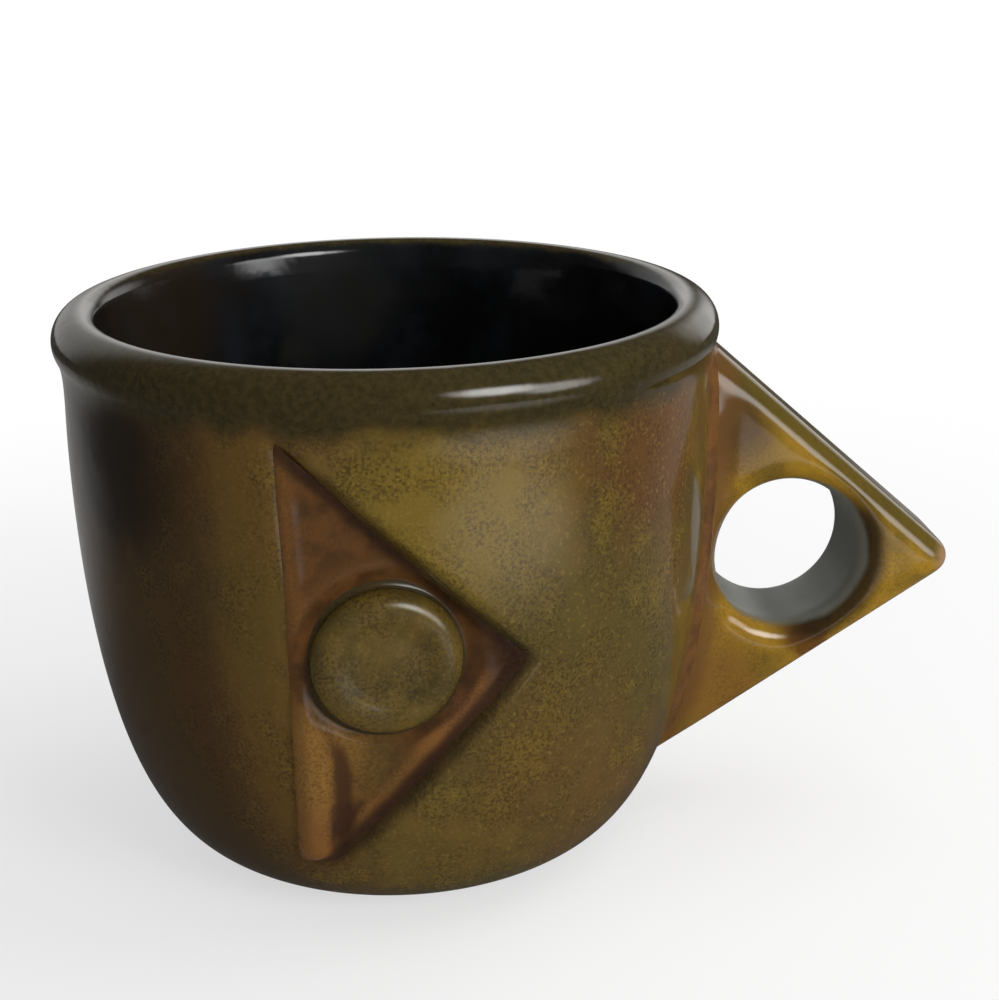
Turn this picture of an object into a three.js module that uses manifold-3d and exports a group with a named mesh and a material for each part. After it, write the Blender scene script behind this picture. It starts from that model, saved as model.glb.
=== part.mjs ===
// Thick stoneware mug with a triangular slab handle and a triangle-and-disc relief on its wall.
// Millimetres, +Z up, foot on Z = 0, handle along +X, relief on the -Y side.
import * as THREE from "three";
import { mergeVertices } from "three/addons/utils/BufferGeometryUtils.js";
import Module from "manifold-3d";

const wasm = await Module();
wasm.setup();

const degrees = THREE.MathUtils.degToRad;

// Outside of the cup
const CUP_HEIGHT = 78;
const RIM_RADIUS = 45;
const BEAD_RADIUS = 3.9; // round outer side of the rim
const BEAD_START = degrees(-27); // where the bead rises out of the neck
const NECK_PULL = 2.4; // how strongly the wall draws in under the bead
const WALL_INSET = 0.95; // how far the widest wall lies inside the rim
const WIDEST_DROP = 18.8; // from the top of the rim down to the widest wall
const BELLY_DROP = 17.7; // how gently the wall starts to curve in below that
const BELLY_INSET = 1.85; // how far inside the wall the belly turns under
const BELLY_RISE = 0.7; // how far the belly lifts off the foot

// Inside of the cup
const LIP_RADIUS = 2.2; // tight inner side of the rim
const WALL_THICKNESS = 6.4;
const WAIST_INSET = 2.6; // how much the inside narrows below the rim
const WAIST_DROP = 34.3;
const FLOOR_THICKNESS = 6.6;
const FLOOR_RADIUS = 18.6; // flat middle of the floor
const LINER_THICKNESS = 0.6; // dark glaze lining the inside
const LINER_DROP = 4.4; // from the top of the rim to the edge of the lining

// Foot
const FOOT_RADIUS = 26;
const FOOT_HEIGHT = 1.4;
const FOOT_WIDTH = 5.2;
const FOOT_ROUND = 0.5;

// Handle
const HANDLE_REACH = 34.3; // from the rim's outer side to the tip, before the tip is rounded
const HANDLE_THICKNESS = 17.6;
const HANDLE_EDGE = 3.8; // rounding of the slab's edges
const TIP_ROUND = 0.5; // extra rounding at the tip
const TIP_HEIGHT = 38.7;
const ROOT_TOP_IN = 5; // the slab's upper corner, hidden in the wall, inside and below the rim
const ROOT_TOP_DROP = 8.6;
const ROOT_LOW_IN = 12; // its lower corner, inside the rim and above the table
const ROOT_LOW_HEIGHT = 11.8;
const ROOT_SPREAD = 3.6; // how far the root flares out to each side on the wall
const ROOT_LENGTH = 6.5; // how far the flare runs out along the slab
const ROOT_CURVE = 2.9; // how tightly the flare curves
const ROOT_SINK = 2; // how deep the flare's edges run into the wall
const ROOT_EASE = 0.2; // how far the flare's end lies inside the slab's sides
const ROOT_LEAN = degrees(6.5); // slant of the flare, which follows the wall down
const SLIP_THICKNESS = 0.5; // joining slip between the handle and the wall
const HOLE_RADIUS = 10.6;
const HOLE_HEIGHT = 40.5;
const HOLE_GAP = 0.9; // from the widest wall to the near side of the finger hole
const HOLE_MOUTH = 2.6; // rounding of the hole's two mouths

// Relief panel, let into the wall
const PANEL_TURN = degrees(6); // direction the panel faces, from -Y towards +X
const PANEL_SINK = 3.7; // depth of the panel's face below the widest wall
const PANEL_THICKNESS = 1.4;
const PANEL_LEFT = 18.9; // corners to the left and right of the line that faces straight out
const PANEL_RIGHT = 10.9;
const PANEL_TOP_DROP = 8; // from the top of the rim to the top corner
const PANEL_APEX = 40.8;
const PANEL_BOTTOM = 10.2;
const PANEL_SLANT = 0.8; // how far the left edge slants towards the middle at its foot
const PANEL_END = 4.6; // width of the panel's blunt lower end
const PANEL_END_RISE = 1.2; // how much higher that end lies on its right
const PANEL_ROUND = 1.1;
const PANEL_BEND = 76; // radius of the panel's lower half, which follows the wall down
const PANEL_LEAN = 360; // radius of its upper half, which follows the wall into the neck
const PANEL_DRAFT = 0.7; // how much the panel's sides draw in over their tapered height
const PANEL_TAPER = 5;
const PANEL_CLEARANCE = 0.3;
const RIB_WIDTH = 4.4; // raised strip left standing along the panel's left edge, below the disc
const LIP_WIDTH = 2.8; // raised strip left standing along its lower right edge
const FIELD_DEPTH = 0.7; // depth of the hollow field between rib and lip
const FIELD_DROP = 8; // from the disc's middle down to the top of the field

// Relief disc, standing in a dish in the panel
const DISC_RADIUS = 9.35;
const DISC_ACROSS = -6.5;
const DISC_HEIGHT = 41.6;
const DISC_RISE = 2.3;
const DISC_ROUND = 1.3;
const DISC_HOLLOW = 0.4; // how far the disc's face lies below its rim
const DISC_SLOPE = 1.3; // width of the slope from the rim down to the face
const DISH_DEPTH = 0.8;
const DISH_GAP = 1.2;
const DISH_FLARE = 1.6;

// Fineness of the turned and curved faces
const TURN_STEPS = 60;
const SMALL_TURN_STEPS = 48;
const CURVE_STEPS = 12;
const ARC_STEPS = 5;

const WALL_RADIUS = RIM_RADIUS - WALL_INSET;
const CROWN_RADIUS = RIM_RADIUS - BEAD_RADIUS;
const MOUTH_RADIUS = CROWN_RADIUS - LIP_RADIUS;
const WIDEST_HEIGHT = CUP_HEIGHT - WIDEST_DROP;
const HALF_HANDLE = HANDLE_THICKNESS / 2;
const PANEL_FACE = WALL_RADIUS - PANEL_SINK;
const DEEP = WALL_RADIUS / 2; // a distance from the middle that lies well inside the cup

const at = (x, y) => new THREE.Vector2(x, y);

// A closed solid from a geometry
function solid(geometry) {
  const bare = geometry.clone();
  bare.deleteAttribute("normal");
  bare.deleteAttribute("uv");
  const merged = mergeVertices(bare, 1e-4);
  const vertProperties = merged.attributes.position.array;
  const triVerts = new Uint32Array(merged.index.array);
  return new wasm.Manifold(new wasm.Mesh({ numProp: 3, vertProperties, triVerts }));
}

// A geometry from a closed solid
function skin(body) {
  const mesh = body.getMesh();
  const geometry = new THREE.BufferGeometry();
  geometry.setAttribute("position", new THREE.BufferAttribute(mesh.vertProperties, 3));
  geometry.setIndex(new THREE.BufferAttribute(mesh.triVerts, 1));
  return geometry;
}

// A solid turned about the vertical axis
function turned(outline) {
  return solid(new THREE.LatheGeometry(outline, TURN_STEPS).rotateX(Math.PI / 2));
}

// A straight block with the given outline, centred on the plane it is drawn in
function block(outline, depth, options) {
  const geometry = new THREE.ExtrudeGeometry(outline, { depth, bevelEnabled: false, ...options });
  return geometry.translate(0, 0, -depth / 2);
}

function arc(x, y, radius, from, to, steps) {
  const points = [];
  for (let i = 0; i <= steps; i += 1) {
    const angle = from + ((to - from) * i) / steps;
    points.push(at(x + radius * Math.cos(angle), y + radius * Math.sin(angle)));
  }
  return points;
}

// A closed outline with rounded corners, drawn anticlockwise
function rounded(corners, radius) {
  const points = corners.flatMap((corner, i) => {
    const before = corners[(i + corners.length - 1) % corners.length];
    const after = corners[(i + 1) % corners.length];
    const inward = corner.clone().sub(before).angle();
    const onward = after.clone().sub(corner).angle();
    const turn = (onward - inward + 2 * Math.PI) % (2 * Math.PI);
    const middle = inward + turn / 2 + Math.PI / 2;
    const far = radius / Math.cos(turn / 2);
    const x = corner.x + far * Math.cos(middle);
    const y = corner.y + far * Math.sin(middle);
    return arc(x, y, radius, inward - Math.PI / 2, inward + turn - Math.PI / 2, ARC_STEPS);
  });
  return new THREE.Shape(points);
}

// Outer side of the cup from the foot to the top of the rim, moved out by grow
function outerSide(grow) {
  const wide = WALL_RADIUS + grow;
  const low = FOOT_HEIGHT - grow;
  const beadHeight = CUP_HEIGHT - BEAD_RADIUS;
  const bead = arc(CROWN_RADIUS, beadHeight, BEAD_RADIUS + grow, BEAD_START, Math.PI / 2, 2 * ARC_STEPS);
  const joint = bead[0];
  const belly = new THREE.CubicBezierCurve(
    at(FOOT_RADIUS, low),
    at(WALL_RADIUS - BELLY_INSET, low + BELLY_RISE),
    at(wide, WIDEST_HEIGHT - BELLY_DROP),
    at(wide, WIDEST_HEIGHT),
  );
  const neck = new THREE.CubicBezierCurve(
    at(wide, WIDEST_HEIGHT),
    at(wide, (WIDEST_HEIGHT + joint.y) / 2),
    at(joint.x + NECK_PULL * Math.sin(BEAD_START), joint.y - NECK_PULL * Math.cos(BEAD_START)),
    joint,
  );
  return [...belly.getPoints(CURVE_STEPS), ...neck.getPoints(ARC_STEPS + 2).slice(1, -1), ...bead];
}

// Inner side of the cup from the lining's edge down to the middle of the floor, moved into the clay by grow
function innerSide(grow) {
  const wall = WALL_RADIUS - WALL_THICKNESS + grow;
  const floor = FOOT_HEIGHT + FLOOR_THICKNESS - grow;
  const side = new THREE.CubicBezierCurve(
    at(MOUTH_RADIUS + grow, CUP_HEIGHT - LINER_DROP),
    at(wall - WAIST_INSET, CUP_HEIGHT - WAIST_DROP),
    at(wall, floor),
    at(FLOOR_RADIUS, floor),
  );
  return [...side.getPoints(CURVE_STEPS), at(0, floor)];
}

// The space that the whole cup fills, hollow included
function filledCup(grow) {
  return turned([at(0, FOOT_HEIGHT - grow), ...outerSide(grow), at(0, CUP_HEIGHT + grow)]);
}

function cupBlank() {
  const lip = arc(CROWN_RADIUS, CUP_HEIGHT - LIP_RADIUS, LIP_RADIUS, Math.PI / 2, Math.PI, ARC_STEPS);
  return turned([
    at(0, FOOT_HEIGHT),
    ...outerSide(0),
    ...lip.slice(1),
    at(MOUTH_RADIUS, CUP_HEIGHT - LINER_DROP),
    ...innerSide(LINER_THICKNESS),
  ]);
}

function innerLining() {
  return turned([...innerSide(LINER_THICKNESS).reverse(), ...innerSide(0)]);
}

function footRing() {
  const inner = FOOT_RADIUS - FOOT_WIDTH;
  return turned([
    at(inner, FOOT_HEIGHT),
    ...arc(inner + FOOT_ROUND, FOOT_ROUND, FOOT_ROUND, Math.PI, 1.5 * Math.PI, 2),
    ...arc(FOOT_RADIUS - FOOT_ROUND, FOOT_ROUND, FOOT_ROUND, -Math.PI / 2, 0, 2),
    at(FOOT_RADIUS, FOOT_HEIGHT),
    at(inner, FOOT_HEIGHT),
  ]);
}

// Outline of the handle's slab in the XZ plane, drawn inside its rounded edges
function handleOutline() {
  const corners = [
    at(RIM_RADIUS - ROOT_LOW_IN, ROOT_LOW_HEIGHT),
    at(RIM_RADIUS + HANDLE_REACH - HANDLE_EDGE, TIP_HEIGHT),
    at(RIM_RADIUS - ROOT_TOP_IN, CUP_HEIGHT - ROOT_TOP_DROP),
  ];
  return rounded(corners, TIP_ROUND);
}

// The triangular slab, with all its edges rounded
function handleSlab() {
  const slab = block(handleOutline(), HANDLE_THICKNESS - 2 * HANDLE_EDGE, {
    bevelEnabled: true,
    bevelThickness: HANDLE_EDGE,
    bevelSize: HANDLE_EDGE,
    bevelSegments: ARC_STEPS,
  });
  return solid(slab.rotateX(Math.PI / 2));
}

// The flare where the slab's two broad sides spread out onto the wall, round at its top and bottom
function handleFlare() {
  const spread = HALF_HANDLE + ROOT_SPREAD;
  const edge = Math.sqrt(WALL_RADIUS ** 2 - spread ** 2) - ROOT_SINK;
  const bend = edge + ROOT_CURVE;
  const end = WALL_RADIUS + ROOT_LENGTH;
  const endWidth = HALF_HANDLE - ROOT_EASE;
  const plan = new THREE.Shape();
  plan.moveTo(DEEP, -spread);
  plan.lineTo(edge, -spread);
  plan.quadraticCurveTo(bend, -HALF_HANDLE, end, -endWidth);
  plan.lineTo(end, endWidth);
  plan.quadraticCurveTo(bend, HALF_HANDLE, edge, spread);
  plan.lineTo(DEEP, spread);
  const post = block(plan, CUP_HEIGHT, { curveSegments: ARC_STEPS });
  post.rotateY(ROOT_LEAN).translate(0, 0, CUP_HEIGHT / 2);
  const top = CUP_HEIGHT - ROOT_TOP_DROP;
  const low = ROOT_LOW_HEIGHT + HANDLE_EDGE;
  const corners = [at(-spread, low), at(spread, low), at(spread, top), at(-spread, top)];
  const front = block(rounded(corners, spread - ROOT_EASE), 4 * WALL_RADIUS);
  front.rotateX(Math.PI / 2).rotateZ(Math.PI / 2);
  const side = block(handleOutline(), 2 * spread).rotateX(Math.PI / 2);
  return solid(post).intersect(solid(front)).intersect(solid(side));
}

// The finger hole along Y, with its two rounded mouths
function fingerHole() {
  const mouth = HOLE_RADIUS + HOLE_MOUTH;
  const straight = HALF_HANDLE - HOLE_MOUTH;
  const end = HALF_HANDLE + 2 * ROOT_SPREAD;
  const outline = [
    at(0, -end),
    at(mouth, -end),
    ...arc(mouth, -straight, HOLE_MOUTH, -Math.PI / 2, -Math.PI, ARC_STEPS),
    ...arc(mouth, straight, HOLE_MOUTH, Math.PI, Math.PI / 2, ARC_STEPS),
    at(mouth, end),
    at(0, end),
  ];
  const spool = new THREE.LatheGeometry(outline, SMALL_TURN_STEPS);
  return solid(spool.translate(WALL_RADIUS + HOLE_GAP + HOLE_RADIUS, 0, HOLE_HEIGHT));
}

// Places a geometry drawn in the panel's plane, with its third axis facing out of the wall
function onWall(geometry) {
  return solid(geometry.rotateX(Math.PI / 2).rotateZ(PANEL_TURN));
}

// Corners of the relief: the two of its blunt lower end, apex, top
function panelCorners() {
  const foot = PANEL_SLANT - PANEL_LEFT;
  return [
    at(foot, PANEL_BOTTOM),
    at(foot + PANEL_END, PANEL_BOTTOM + PANEL_END_RISE),
    at(PANEL_RIGHT, PANEL_APEX),
    at(-PANEL_LEFT, CUP_HEIGHT - PANEL_TOP_DROP),
  ];
}

// Triangular block of the relief, tapering towards its face
function panelBlock(grow) {
  const back = PANEL_FACE - PANEL_THICKNESS;
  const triangle = block(rounded(panelCorners(), PANEL_ROUND), back - DEEP, {
    bevelEnabled: true,
    bevelThickness: PANEL_TAPER,
    bevelSize: PANEL_DRAFT,
    bevelOffset: grow - PANEL_DRAFT,
    bevelSegments: 1,
  });
  return onWall(triangle.translate(0, 0, (back + DEEP) / 2));
}

// Everything from the given depth below the panel's face out to the given height above it
function panelLayer(depth, height) {
  const bend = PANEL_BEND - depth;
  const lean = PANEL_LEAN - depth;
  const outer = PANEL_FACE + height;
  const down = Math.asin((DISC_HEIGHT - FOOT_HEIGHT) / bend);
  const up = Math.asin((CUP_HEIGHT - DISC_HEIGHT) / lean);
  const profile = new THREE.Shape([
    ...arc(PANEL_FACE - PANEL_LEAN, DISC_HEIGHT, lean, up, 0, ARC_STEPS),
    ...arc(PANEL_FACE - PANEL_BEND, DISC_HEIGHT, bend, 0, -down, CURVE_STEPS).slice(1),
    at(outer, FOOT_HEIGHT),
    at(outer, CUP_HEIGHT),
  ]);
  const layer = block(profile, 2 * WALL_RADIUS);
  return solid(layer.rotateX(Math.PI / 2).rotateZ(PANEL_TURN - Math.PI / 2));
}

// A round solid about the disc's middle, standing on the floor of the dish
function onDish(outline) {
  const geometry = new THREE.LatheGeometry(outline, SMALL_TURN_STEPS).rotateX(Math.PI / 2);
  return onWall(geometry.translate(DISC_ACROSS, DISC_HEIGHT, PANEL_FACE - DISH_DEPTH));
}

// Point at the given height on the line between two points, moved sideways by across
function along(from, to, height, across) {
  const share = (height - from.y) / (to.y - from.y);
  return at(from.x + share * (to.x - from.x) + across, height);
}

// The hollow field between the panel's rib and its lip, open to the dish at its top
function panelField() {
  const [foot, end, apex, top] = panelCorners();
  const lip = -LIP_WIDTH / Math.sin(apex.clone().sub(end).angle());
  const rise = (apex.y - end.y) / (apex.x - end.x);
  const high = DISC_HEIGHT - FIELD_DROP;
  const low = end.y + (RIB_WIDTH - PANEL_END - lip) * rise;
  const corners = [
    along(end, apex, low, lip),
    along(end, apex, high, lip),
    along(foot, top, high, RIB_WIDTH),
  ];
  const field = block(rounded(corners, PANEL_ROUND), WALL_RADIUS);
  return onWall(field.translate(0, 0, WALL_RADIUS)).intersect(panelLayer(FIELD_DEPTH, PANEL_THICKNESS));
}

function reliefPanel() {
  const floor = DISC_RADIUS + DISH_GAP;
  const top = 2 * DISH_DEPTH;
  const dish = onDish([at(0, 0), at(floor, 0), at(floor + 2 * DISH_FLARE, top), at(0, top)]);
  const plate = panelLayer(PANEL_THICKNESS, 0).subtract(panelLayer(0, PANEL_THICKNESS));
  return panelBlock(0).intersect(plate).subtract(dish).subtract(panelField());
}

function reliefDisc() {
  const top = DISH_DEPTH + DISC_RISE;
  return onDish([
    at(0, 0),
    at(DISC_RADIUS, 0),
    ...arc(DISC_RADIUS - DISC_ROUND, top - DISC_ROUND, DISC_ROUND, 0, Math.PI / 2, ARC_STEPS),
    at(DISC_RADIUS - DISC_ROUND - DISC_SLOPE, top - DISC_HOLLOW),
    at(0, top - DISC_HOLLOW),
  ]);
}

const pocket = panelBlock(PANEL_CLEARANCE).intersect(panelLayer(PANEL_THICKNESS, DEEP));
const slipSpace = filledCup(SLIP_THICKNESS);
const handleBlank = handleSlab().add(handleFlare());
const handle = handleBlank.subtract(slipSpace).subtract(fingerHole());

const mug = new THREE.Group();
mug.name = "mug";

function piece(name, body, color, roughness) {
  const material = new THREE.MeshStandardMaterial({ color, roughness, metalness: 0 });
  const mesh = new THREE.Mesh(skin(body), material);
  mesh.name = name;
  mug.add(mesh);
}

piece("cup_body", cupBlank().subtract(pocket), 0x5d4f25, 0.22);
piece("inner_lining", innerLining(), 0x15140f, 0.15);
piece("foot_ring", footRing(), 0x7d5a3a, 0.8);
piece("handle", handle, 0x85702e, 0.2);
piece("joining_slip", handleBlank.intersect(slipSpace).subtract(filledCup(0)), 0x7c4f24, 0.3);
piece("relief_panel", reliefPanel(), 0x70472a, 0.28);
piece("relief_disc", reliefDisc(), 0x6a5f2d, 0.24);

// The frame's origin is under the middle of the whole mug, handle included
mug.position.x = (RIM_RADIUS - handle.boundingBox().max[0]) / 2;

export default mug;
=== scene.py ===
"""Looks of a glazed stoneware mug.

It has a triangular slab handle, a sunk triangle with a raised disc, a black lining and a bare foot.
"""

import math

import bmesh
import bpy
from mathutils import Matrix, Vector, noise
from mathutils.geometry import interpolate_bezier

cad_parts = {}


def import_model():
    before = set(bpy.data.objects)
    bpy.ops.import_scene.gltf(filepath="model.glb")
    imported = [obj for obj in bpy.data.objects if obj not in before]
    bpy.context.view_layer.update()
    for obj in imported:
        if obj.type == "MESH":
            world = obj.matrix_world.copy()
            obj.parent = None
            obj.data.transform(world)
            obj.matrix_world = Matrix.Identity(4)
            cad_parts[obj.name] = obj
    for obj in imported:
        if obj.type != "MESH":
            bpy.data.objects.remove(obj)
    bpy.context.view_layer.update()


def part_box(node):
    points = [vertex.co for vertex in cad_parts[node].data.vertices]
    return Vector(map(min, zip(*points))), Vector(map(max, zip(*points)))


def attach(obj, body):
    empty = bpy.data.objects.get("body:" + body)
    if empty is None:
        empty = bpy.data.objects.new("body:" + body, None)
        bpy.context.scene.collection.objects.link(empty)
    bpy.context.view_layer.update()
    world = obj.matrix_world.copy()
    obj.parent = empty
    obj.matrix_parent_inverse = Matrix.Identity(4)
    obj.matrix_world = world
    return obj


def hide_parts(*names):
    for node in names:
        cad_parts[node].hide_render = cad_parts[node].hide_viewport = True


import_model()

# Pieces are modelled in millimetres about the cup's axis, then placed in the frame in metres.
MM = 0.001
FULL_TURN = 2 * math.pi
WELD = 1e-4
SHARP_ANGLE = math.radians(48)


def span(node):
    """A node's lowest and highest corner in millimetres."""
    low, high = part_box(node)
    return low / MM, high / MM


cup_low, cup_high = span("cup_body")
foot_low, foot_high = span("foot_ring")
lining_low, lining_high = span("inner_lining")
handle_high = span("handle")[1]

AXIS_X = (cup_low.x + cup_high.x) / 2
TO_FRAME = Matrix.Translation((AXIS_X * MM, 0, 0)) @ Matrix.Scale(MM, 4)

# Outside of the cup
RIM_RADIUS = (cup_high.x - cup_low.x) / 2
CUP_TOP = cup_high.z
CUP_BASE = cup_low.z
BEAD_RADIUS = 3.9
BEAD_START = math.radians(-27)
NECK_PULL = 2.4
WALL_RADIUS = RIM_RADIUS - 0.95
WIDEST = CUP_TOP - 18.8
BELLY_DROP = 17.7
BELLY_INSET = 1.85
BELLY_RISE = 0.7
FOOT_RADIUS = (foot_high.x - foot_low.x) / 2
FOOT_WIDTH = 5.2
FOOT_ROUND = 0.6
PROFILE_STEPS = 120
BEAD_STEPS = 20

# Inside of the cup
LIP_RADIUS = 2.2
CROWN_RADIUS = RIM_RADIUS - BEAD_RADIUS
MOUTH_RADIUS = CROWN_RADIUS - LIP_RADIUS
THROAT_RADIUS = MOUTH_RADIUS - 0.3
THROAT_SLOPE = math.radians(7.3)
WALL_THICKNESS = 6.4
WAIST_INSET = 2.6
WAIST_HEIGHT = CUP_TOP - 34.3
FLOOR_RADIUS = 18.6
LINING_TOP = lining_high.z
LINING = 0.6
FLOOR = lining_low.z + LINING
LINING_STEPS = 64
LIP_STEPS = 12
FOOT_STEPS = 6
HIDDEN_STEPS = 14

# Steps round the axis. The side with the relief is finer.
ROUND_STEPS = 192
RELIEF_SIDE = math.radians(60)
RELIEF_STEPS = 150
PLAIN_STEPS = 300

# Handle: corners of the slab inside its rounded edges, in the plane of the handle
HANDLE_TIP = handle_high.x - AXIS_X
HANDLE_THICKNESS = 17.6
HANDLE_EDGE = 3.8
HANDLE_EDGE_STEPS = 8
SLAB_LOW = Vector((RIM_RADIUS - 12, 11.8))
SLAB_TIP = Vector((RIM_RADIUS + 30.5, 38.7))
SLAB_TOP = Vector((RIM_RADIUS - 5, CUP_TOP - 8.6))
HOLE_RADIUS = 10.6
HOLE_MOUTH = 3.6
HOLE_CLEAR = 4
HOLE_STEPS = 96
MOUTH_STEPS = 10
HOLE = Vector((WALL_RADIUS + 0.9 + HOLE_RADIUS, 40.5))
FLARE = 3.4
FLARE_LENGTH = 7.5
FLARE_FULL = -1.5
REACH_TOP = WIDEST + 6
ROOT_SINK = 1.2
VOXEL = 0.42
SOFT_PASSES = 6
SOFT_SHARE = 0.5
CORE_PROFILE_STEPS = 32
CORE_STEPS = 128

# Joining slip: a low fillet on the wall round the handle's root
ROOT_LOW = 11.6
ROOT_HIGH = 70.5
ROOT_ROUND = 5.0
ROOT_WIDENS = (12, 27)
ROOT_NARROWS = (71, 56)
SLIP_RISE = 1.5
SLIP_SPREAD = 3.6
SLIP_SINK = 0.15
SLIP_TRIM = 0.4
SLIP_MARGIN = 1
SLIP_FULL = -1.0
SLIP_EDGE = (0.4, SLIP_SPREAD - 0.8)
SLIP_SIDE = math.radians(24)
SLIP_STEPS = 110

# Relief: across and up in the plane of the panel, which faces out of the wall
PANEL_TURN = math.radians(6)
PANEL_FACE = WALL_RADIUS - 3.7
PANEL_BEND = 76
PANEL_LEAN = 360
PANEL_FOOT = Vector((-18.1, 10.2))
PANEL_END = Vector((-13.5, 11.4))
PANEL_APEX = Vector((10.9, 40.8))
PANEL_TOP = Vector((-18.9, 70.0))
PANEL_CORNERS = [PANEL_FOOT, PANEL_END, PANEL_APEX, PANEL_TOP]
PANEL_GRID = (110, 220)
PANEL_LEAST = 0.5
PANEL_BACK = 1.7
PANEL_WELD = 0.02
# Width of the painted shade along the panel's sunk edges
PANEL_CREASE = (2.8, 0.5)
POCKET_FLOOR = 1.1
POCKET_LEAST = 0.7
POCKET_EDGE = (-1.7, 1.9)
POCKET_REACH = 20
POCKET_CORNER = 1.5
POCKET_BLEND = 1.6
# Where the painted shade lies in the crease round the pocket and along the panel's left edge
POCKET_CREASE = (-2.2, 0.6)
CREASE_LEAST = 0.35
CREASE_DEEPENS = (1.0, 5.0)
LEFT_CREASE = (1.8, 0.2)
SKIN = 0.2
RIB_WIDTH = 4.2
RIDGE_WIDTH = 1.7
RIB_RISE = 0.3
RIB_BROADENS = (38, 26)
RIB_SIDE = (1.5, -1.3)
VALLEY_DEPTH = 0.45
VALLEY_LINE = (1.8, 1.5)
VALLEY_STARTS = (0.4, 3.0)
FIELD_DEPTH = 0.35
FIELD_FROM_RIB = (1.4, 4.0)
FIELD_FROM_LIP = (2.4, 5.0)
LIP_RISE = 0.3
LIP_LINE = (2.6, 1.6)
LIP_FROM_RIB = (0.4, 3.5)
LIP_FADES = (48, 32)
LEDGE_RISE = 0.15
LEDGE_LINE = (3.2, 1.5)
LEDGE_STARTS = (0.5, 3.0)
EDGE_DROP = 0.8
EDGE_TURN = 0.7
EDGE_WIDTH = 2.4
EDGE_BLEND = 2.0
EDGE_CORNER = 2.5
EDGE_INSET = 0.4
EDGE_SINKS = (-0.3, -1.5)
UNEVEN = 0.08
UNEVEN_SIZE = 5
DISC_MIDDLE = Vector((-6.5, 41.6))
DISC_RADIUS = 9.35
DISC_RISE = 2.3
DISC_SHOULDER = 2.4
DISC_HOLLOW = 0.6
DISC_CROWN = 0.1
DISC_SKIRT = 0.9
DISC_BED = 0.8
DISC_STEPS = 128
SHOULDER_STEPS = 14
SIDE_STEPS = 10
SKIRT_LOW = -0.1
SKIRT_HIGH = 0.4
FALL_BRINK = 1.3
FALL_TOE = 1.5
FALL_WIDTH = 3
HOLLOW_EDGE = 4.2
HOLLOW_MIDDLE = 2
# Where the painted shade at the disc's foot fades
DISC_CREASE = (0.5, 0.2)
DISH_DEPTH = 0.65
DISH_SIDE = (2.9, 0.5)

RELIEF = Matrix.Rotation(PANEL_TURN, 4, "Z") @ Matrix.Rotation(math.radians(90), 4, "X")


# Mesh helpers

def piece(name, bm, material, *nodes, slot):
    """A finished piece: placed in the frame, smooth, riding on the mug, standing for its CAD nodes."""
    bmesh.ops.transform(bm, matrix=TO_FRAME, verts=bm.verts)
    for face in bm.faces:
        face.smooth = True
    mesh = bpy.data.meshes.new(name)
    bm.to_mesh(mesh)
    bm.free()
    mesh.set_sharp_from_angle(angle=SHARP_ANGLE)
    made = bpy.data.objects.new(name, mesh)
    bpy.context.scene.collection.objects.link(made)
    mesh.materials.append(material)
    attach(made, "root")
    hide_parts(*nodes)
    return made


def point(radius, height):
    """A point of an outline that is turned about the axis."""
    return Vector((radius, 0, height))


def arc(radius, height, size, start, end, steps):
    """Part of a circle of a size, about a middle at a radius and a height."""
    turn = (end - start) / steps
    angles = [start + turn * i for i in range(steps + 1)]
    return [point(radius + size * math.cos(a), height + size * math.sin(a)) for a in angles]


def joined(*stretches):
    """One outline from stretches that share their end points."""
    outline = []
    for stretch in stretches:
        outline += stretch if not outline else stretch[1:]
    return outline


def turned(outline, sectors, start=0.0):
    """A bmesh spun about the cup's axis, in sectors of (angle, steps)."""
    bm = bmesh.new()
    verts = [bm.verts.new(p) for p in outline]
    edges = [bm.edges.new(pair) for pair in zip(verts, verts[1:])]
    bmesh.ops.rotate(bm, verts=verts, cent=(0, 0, 0), matrix=Matrix.Rotation(start, 3, "Z"))
    geometry = verts + edges
    for angle, steps in sectors:
        spun = bmesh.ops.spin(
            bm,
            geom=geometry,
            axis=(0, 0, 1),
            cent=(0, 0, 0),
            angle=angle,
            steps=steps,
            use_merge=angle == FULL_TURN,
        )
        geometry = spun["geom_last"]
    bmesh.ops.remove_doubles(bm, verts=bm.verts, dist=WELD)
    bmesh.ops.recalc_face_normals(bm, faces=bm.faces)
    return bm


def backed(bm, place):
    """Closes an open skin with a copy of itself, each point of which goes where place() says."""
    copy = bmesh.ops.extrude_face_region(bm, geom=bm.faces[:], use_keep_orig=True)["geom"]
    for vert in copy:
        if isinstance(vert, bmesh.types.BMVert):
            vert.co = place(vert.co)
    bmesh.ops.recalc_face_normals(bm, faces=bm.faces)


def smooth(value, low, high):
    """0 at low and 1 at high, with an even slope between."""
    share = min(max((value - low) / (high - low), 0), 1)
    return share * share * (3 - 2 * share)


def ease(distance, radius):
    """1 at an edge, falling softly to 0 at a radius from it."""
    return max(1 - max(distance, 0) / radius, 0) ** 2


def hump(value, middle, width):
    """1 at the middle, falling away on both sides."""
    return math.exp(-(((value - middle) / width) ** 2))


def least(a, b, blend):
    """The lesser of two numbers, with a soft corner."""
    h = min(max(0.5 + (b - a) / (2 * blend), 0), 1)
    return b + (a - b) * h - blend * h * (1 - h)


# Cup, lining and foot

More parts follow.
